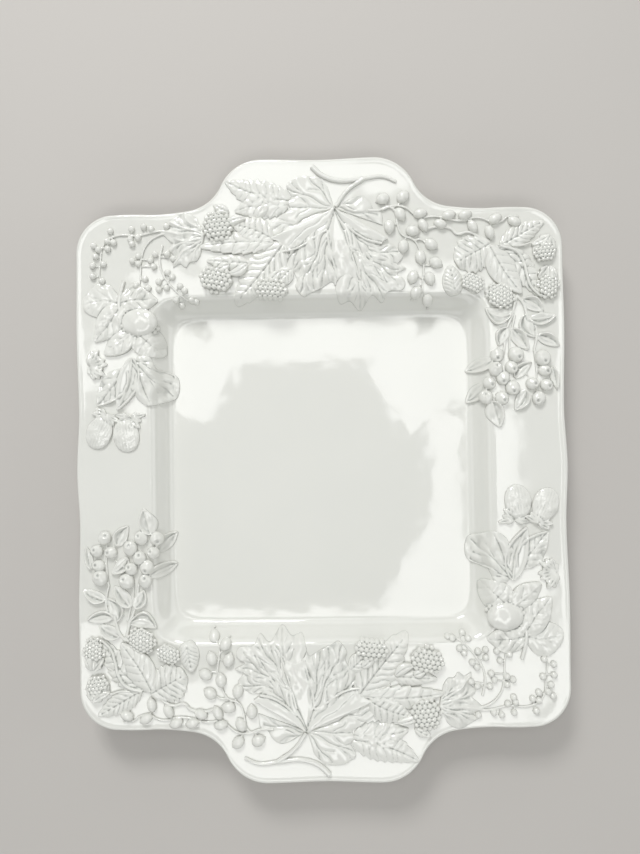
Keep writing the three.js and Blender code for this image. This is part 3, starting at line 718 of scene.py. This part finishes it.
twig = stem([(-3, 197), (3, 191.5), (14, 187.5), (30, 188.5), (43, 189.5), (52, 186)], 2, 0.6, 0.55)
stalk = stem([(31, 188.5), (20, 181), (12, 170.5)], 1.4, 0.9, 0.9)
sprig("vine_twig", [twig, stalk])

# Dog rose: two sprays of egg-shaped hips right of the middle, on thin curving stems. They are sprigs of the
# same earthenware, laid on with slip over the edge of the vine leaf and glazed over.
hip_length, hip_height, hip_end = 4.5, 3.3, 4.4
rose_stem_height = 0.9


def hips(places, stalks, width=3.6):
    """Hips with the knob of their flower, each on a bent stem from the nearest point of the stalks."""
    made = []
    for x, y, heading in places:
        heading = math.radians(heading)
        near = nearest((x, y), stalks)
        knob = (x + hip_end * math.cos(heading), y + hip_end * math.sin(heading))
        made.append(ball((x, y), hip_length, width, hip_height, heading))
        made.append(ball(knob, 0.9, 0.9, 1.2, segments=12))
        bend = (0.5 * (near[0] + x) + 0.12 * (y - near[1]), 0.5 * (near[1] + y) - 0.12 * (x - near[0]))
        made.append(stem([near, bend, (x, y)], radius=0.6, height=0.6, taper=1))
    return made


rose_inner_stalks = [
    [(33, 168), (41, 168), (46, 170), (50, 168), (52, 160), (55, 152), (63, 148), (66, 143), (69, 132),
     (68, 120)],
    [(63, 148), (67, 148.5), (71, 146)],
]
rose_inner_hips = [
    (43, 175, 200), (56, 176, 40), (54, 165, -60), (47, 157, -85), (62, 154, -5), (56, 144, 260),
    (74, 145, -30), (67, 137, 275), (77, 133, -25), (62, 124, 250), (73, 123, -70), (64, 114, 240),
    (72, 110, -80),
]
rose_inner = [stem(stalk, height=rose_stem_height) for stalk in rose_inner_stalks]
sprig("rosehip_spray_inner", rose_inner + hips(rose_inner_hips, rose_inner_stalks))
rose_outer_stalks = [
    [(42, 168), (50, 170.5), (58, 169), (63, 165), (67, 162), (73, 163), (78, 163), (88, 160.5), (96, 160),
     (101, 161.5), (108, 161), (114, 158), (120, 159), (124, 162), (131, 162)],
]
rose_outer_hips = [
    (67, 165, 10), (69, 157.5, -60), (80, 158, -20), (85.5, 163.6, 15), (96, 163.5, 20), (101, 156, -60),
    (115.5, 160.5, 30), (112, 152, -75), (128, 158.5, -20),
]
rose_outer = [stem(stalk, height=rose_stem_height) for stalk in rose_outer_stalks]
sprig("rosehip_spray_outer", rose_outer + hips(rose_outer_hips, rose_outer_stalks, width=3.1))

# Strawberry: three toothed leaves in the right corner, with four beaded fruits and a ribbed bud round them.
# They are sprigs of the same earthenware, the fruit pressed in deeper moulds, and are laid on with slip.
seed_size, seed_pitch = 1.3, 2.5
runner = [(71, 155), (78, 156.5), (87, 155), (91, 151.5), (98, 152.5), (104, 150), (111, 142)]
straw_left = [
    stem(runner, 1, 0.9, 1),
    leaf((113, 145), (90, 132.5), 26, height=1.2, rise=1.8, teeth=7, veins=7, slant=0.6, puff=0.9, crisp=0.8,
         fullest=0.55, blunt=0.6),
]
sprig("strawberry_leaf_left", straw_left)
centre_leaves = [
    leaf((112, 143), (132, 112), 17, height=1.9, veins=6, puff=0.6, bow=-1.5, rise=1.9),
    leaf((114, 143), (143, 110), 18, height=1.1, teeth=8, veins=8, bow=4.5, crisp=0.4, puff=1),
    stem([(118, 143), (129, 139), (133.5, 132), (135.5, 124), (138, 116), (144, 109.5)], 1, 2.7, 0.8),
]
sprig("strawberry_leaf_centre", centre_leaves)
corner_leaf = leaf((119, 143), (147, 158.5), 15, teeth=7, veins=8, crisp=0.3, rise=1.7, puff=0.9)
sprig("strawberry_leaf_corner", [corner_leaf])


def calyx(leaves):
    """The ragged small leaves at the top of a fruit."""
    return [
        leaf(base, tip, width, height=height, veins=0, crisp=0.8, teeth=2, tooth=0.4)
        for base, tip, width, height in leaves
    ]


upper_straw = beaded((146.5, 140), 8.8, 8.2, 3.6, 2.2, bead=seed_size, pitch=seed_pitch, bare=0.4)
upper_straw.append(stem([(126, 143), (133, 143), (139, 144.5), (144, 143)], 0.8, 1.6))
upper_straw += calyx([
    ((151, 148), (139, 143), 7, 3), ((150, 148), (145, 138), 7, 3.3), ((150, 148), (153, 138), 6, 3),
])
sprig("strawberry_upper", upper_straw, voxel=fruit_voxel)
lower_straw = beaded((149, 117.5), 10.5, 7.6, 3.6, 1.55, bead=seed_size, pitch=seed_pitch, bare=0.45)
lower_straw.append(stem([(134, 131), (139, 129), (144, 124)], 0.7, 1))
lower_straw += calyx([
    ((149, 129), (143, 121), 6, 2.8), ((150, 129), (149, 117), 6, 3.2), ((150, 129), (154, 120), 6, 2.8),
])
sprig("strawberry_lower", lower_straw, voxel=fruit_voxel)
sprig("strawberry_inner", beaded((118.5, 110.5), 10.2, 8.4, 3.8, 2.6, bead=seed_size, pitch=seed_pitch))
sprig("strawberry_small", beaded((101, 119.5), 9, 6.8, 3.6, 2.7, bead=1.25, pitch=2.4))
bud = [
    ball((87.5, 120.5), 8.5, 5.6, 2.4, 1.75),
    leaf((89.5, 112), (86, 131), 13, height=1.2, rise=2.6, veins=6, puff=0.9, groove=0.7, blunt=0.6),
]
sprig("strawberry_bud", bud)

# Rowan: a forking stalk with small rolled leaves down the right side, and its bunch of round fruit. It is one
# sprig of the same earthenware, laid on with slip from the rim down to the wall of the well and glazed over.
rowan = [
    stem([(129, 111), (127.5, 104), (126, 98), (123, 90), (121.5, 82), (120, 72)], 1.1, 0.7),
    stem([(129, 111), (133, 106), (135, 100), (136.5, 95), (141, 90), (141.5, 84), (139.5, 74)], 1.1, 0.7),
    stem([(128, 98), (126, 90), (124, 80), (127, 66), (136, 58)], 0.8, 0.5),
    stem([(140, 74), (141, 62), (141, 48)], 0.8, 0.5),
]


def rowan_fruit(place, radius, facing):
    """A round fruit, a little lumpy, with the sunk crown where its flower was."""
    piece = ball(place, radius, radius * 0.94, radius * 0.75, facing, segments=40)
    places = vertex_places(piece)
    out = 0.45 * radius
    crown = (place[0] + out * math.cos(facing), place[1] + out * math.sin(facing))
    gap = np.hypot(places[:, 0] - crown[0], places[:, 1] - crown[1])
    above = places[:, 2] > 0
    dent = 0.7 * np.exp(-((gap / 1.1) ** 2)) - 0.5 * np.exp(-(((gap - 1.9) / 0.7) ** 2))
    places[:, 2] -= above * (dent + 0.3 * crumple(places[:, 0], places[:, 1]))
    set_places(piece, places)
    return piece


rowan_places = [
    (116, 72, 4.7, -90), (128, 72, 5.3, -50), (145, 69.5, 5.4, -70), (146, 61.5, 4.2, -20),
    (125, 64, 4.4, -50), (115, 63, 4.9, 80), (119.5, 57, 4.7, -90), (111, 54, 4.2, -40),
    (125.5, 50.5, 5, -80), (138, 53, 4.2, 0), (147, 52, 4.2, -30), (109, 45, 4.8, 120),
    (118.5, 44, 4.7, -50), (142, 43.5, 4.6, -120),
]
for x, y, radius, facing in rowan_places:
    rowan.append(rowan_fruit((x, y), radius, math.radians(facing)))
rowan_leaves = [
    ((126, 99), (109, 103), 11, 3.5), ((133, 108), (146, 100), 9, 1), ((137, 95), (154, 97), 8, -1),
    ((134, 98), (140, 83), 9, -2), ((142, 84), (156, 77), 8, 1), ((126, 89), (136, 75), 9, 0),
    ((123, 90), (117, 78), 8, -1), ((113, 69), (98, 63), 9, 0), ((108, 54), (98, 42), 9, 1),
    ((112, 42), (117, 25), 11, 0), ((134, 49), (127, 36), 9, 1), ((127, 57), (138, 67), 8, 1),
    ((151, 64), (154, 49), 5, 0),
]
rolled = {"height": 0.8, "veins": 0, "rise": 0.4, "groove": -0.5, "cup": 1.6, "tilt": 0.3, "crisp": 0.25}
for base, tip, width, bow in rowan_leaves:
    rowan.append(leaf(base, tip, width, bow=bow, **rolled))
sprig("rowan_spray", rowan)

# Hazel: a stalk with broad leaves, a large nut in its husk and two more nuts down the left side. They are
# sprigs of the same earthenware, laid on with slip, some of them over the wall of the well, and glazed over.
nut_place, nut_heading = (-118, 97.5), 0.05
scallops, scallop_size = 9, 1.8


def nut(place, length, width, height, heading, ridges=0.12):
    """A nut in its shell, faintly ridged from its cup to its point."""
    piece = ball(place, length, width, height, 0, segments=44)
    places = vertex_places(piece) - (*place, 0)
    across = places[:, 1] / width
    grain = ridges * np.cos(9 * math.pi * across) + 0.4 * crumple(places[:, 0], places[:, 1])
    places[:, 2] += np.where(places[:, 2] > 0, grain, 0)
    set_places(piece, turned(places, heading, place))
    return piece


hazel_upper = [
    stem([(-128, 125), (-130.5, 115), (-131, 107), (-127, 97), (-124, 89)], 1.3, 1),
    leaf((-131, 110), (-154.5, 108.5), 23, veins=4, bow=-2.5, puff=0.3, rise=1, groove=0.3, crisp=0.4,
         blunt=0.55),
    leaf((-130, 109), (-147, 85), 17, veins=5, height=1.5, bow=1, tilt=-0.9, puff=0.45, crisp=0.6),
    leaf((-131, 110), (-106, 112), 18, veins=5, bow=1.5, crisp=0.9),
    nut(nut_place, 11.8, 9, 4.2, nut_heading, ridges=0),
    leaf((-121, 92), (-104, 76), 20, veins=5, height=1.2, slant=0.2, puff=0.6, crisp=0.7, blunt=0.7),
    leaf((-123, 91), (-141, 76), 15, veins=3, height=1.4, tilt=1, puff=0.5, crisp=0.5, groove=-0.5),
]
for number in range(scallops):
    turn = math.radians(195 + 18 * number)
    place = (nut_place[0] + 11.4 * math.cos(turn), nut_place[1] + 8.6 * math.sin(turn))
    hazel_upper.append(ball(place, scallop_size, scallop_size, scallop_size, segments=14))
sprig("hazel_spray_upper", hazel_upper)


def husk(place, out, width, first, last, frills):
    """A ragged collar of narrow leaves round the top of a nut."""
    made = []
    for turn in np.radians(np.linspace(first, last, frills)):
        reach = out * (0.9 + 0.14 * math.sin(7 * turn))
        tip = (place[0] + reach * math.cos(turn), place[1] + reach * math.sin(turn))
        made.append(leaf(place, tip, width, height=1.3, veins=0, crisp=1.1, teeth=2, tooth=0.4))
    return made


broad_rim = [
    (-119, 76), (-112, 75), (-109.5, 70), (-107, 66), (-100, 65), (-96, 61), (-95.5, 54), (-97.5, 48),
    (-104, 45), (-112, 42.5), (-119, 46), (-124, 55),
]
broad_ribs = [(-99, 62), (-99, 50), (-112, 45)]
hazel_lower = [
    leaf((-123, 74), (-133, 40), 14, veins=0, height=1.2, cup=1.7, bow=2, rise=0.7, tilt=-0.6, groove=-0.6),
    fan((-123, 72), broad_rim, broad_ribs, height=1.2, rise=1.4, side_veins=1, groove=0.4, crisp=1.1),
    leaf((-127, 66), (-146, 43), 17, veins=5, height=0.9, cup=1.2, crisp=0.8),
]
hazel_lower += husk((-151, 69), 12, 6, -70, 80, 9)
sprig("hazel_spray_lower", hazel_lower)
right_nut = [nut((-127.5, 23), 11, 8.6, 2.5, 1.7)] + husk((-125, 35), 10, 5, 170, 370, 8)
sprig("hazelnut_right", right_nut)
left_nut = [nut((-145, 25), 11, 8.4, 2.5, 1.2)] + husk((-140, 37), 10, 5, 150, 330, 8)
sprig("hazelnut_left", left_nut)

# The tray lies on a plain pale paper floor. A ring of soft lamps round a gap above the camera gives the glaze
# its bright border and grey middle, a small window beyond the far end gives the relief its shading, and four
# low panels and an even, weak light from the pale room fill in the rest.
floor_size, floor_colour, floor_roughness = 6, (0.50, 0.48, 0.455, 1), 0.9
bpy.ops.object.select_all(action="DESELECT")
bpy.ops.mesh.primitive_plane_add(size=floor_size)
floor = bpy.context.object
floor.name = "floor"
paper = Finish("floor_paper")
paper.shader.inputs["Base Color"].default_value = floor_colour
paper.shader.inputs["Roughness"].default_value = floor_roughness
floor.data.materials.append(paper.material)


def lamp(name, place, target, width, height, power, turn=0):
    """A soft rectangular lamp that faces its target."""
    bpy.ops.object.light_add(type="AREA", location=place)
    light = bpy.context.object
    light.name = name
    light.data.shape = "RECTANGLE"
    light.data.size = width
    light.data.size_y = height
    light.data.energy = power
    light.rotation_euler = (Vector(target) - Vector(place)).to_track_quat("-Z", "Y").to_euler()
    light.rotation_euler.z += turn


# Each lamp of the ring is given by its direction, how far from the ring's middle it starts, its depth, and
# where it starts and ends sideways.
ring_centre, ring_height, ring_level = (-0.04, -0.13), 1.21, 4.3
ring_lamps = [
    (90, 0.335, 0.095, -0.25, 0.25), (90, 0.43, 0.17, -0.1, 0.25), (90, 0.6, 0.1, -0.25, 0.25),
    (30, 0.275, 0.24, 0.02, 0.21), (0, 0.285, 0.075, -0.13, 0.2), (330, 0.265, 0.2, -0.21, 0.1),
    (270, 0.26, 0.34, -0.42, 0.46), (150, 0.31, 0.2, -0.21, -0.03),
]
for number, (turn, inside, depth, start, end) in enumerate(ring_lamps):
    lead = math.cos(math.radians(turn)), math.sin(math.radians(turn))
    reach, shift = inside + depth / 2, (start + end) / 2
    x = ring_centre[0] + reach * lead[0] - shift * lead[1]
    y = ring_centre[1] + reach * lead[1] + shift * lead[0]
    power = math.pi * (end - start) * depth * ring_level
    lamp(f"ring_{number}", (x, y, ring_height), (x, y, 0), end - start, depth, power, math.radians(turn - 90))
side_lamps = [
    ("window", (-0.3, 1.1, 1.0), 0.45, 0.35, 12),
    ("far_panel", (0, 1.7, 0.55), 1.8, 0.8, 5),
    ("near_panel", (0, -1.7, 0.6), 1.8, 0.8, 6),
    ("right_panel", (1.7, 0, 0.55), 1.2, 0.8, 5),
    ("left_panel", (-1.7, 0, 0.55), 1.2, 0.8, 3),
]
for name, place, width, height, power in side_lamps:
    lamp(name, place, (0, 0, 0), width, height, power)
world = bpy.data.worlds.new("room")
bpy.context.scene.world = world
world.use_nodes = True
room_light, backdrop_light, room_colour = 0.17, 0.55, (0.97, 1, 0.98, 1)
backdrop = world.node_tree.nodes["Background"]
backdrop.inputs["Color"].default_value = room_colour
rays = world.node_tree.nodes.new("ShaderNodeLightPath").outputs
seen = Wire(rays["Is Camera Ray"]) + Wire(rays["Is Glossy Ray"]) + Wire(rays["Is Transmission Ray"])
strength = room_light + (backdrop_light - room_light) * seen
world.node_tree.links.new(strength.socket, backdrop.inputs["Strength"])

# The camera stands almost straight above the tray, tipped by about a degree, at the place and with the lens
# that were fitted to the tray's outline.
camera_place, camera_tilt = (0.00752, 0.01957, 0.47736), (0.922, 0.997, -0.852)
lens_length, sensor_width, nearest_seen = 29.09, 36, 0.01
bpy.ops.object.camera_add(location=camera_place)
camera = bpy.context.object
camera.rotation_euler = [math.radians(degrees) for degrees in camera_tilt]
camera.data.lens = lens_length
camera.data.sensor_width = sensor_width
camera.data.clip_start = nearest_seen
bpy.context.scene.camera = camera
bpy.context.scene.view_settings.view_transform = "Standard"
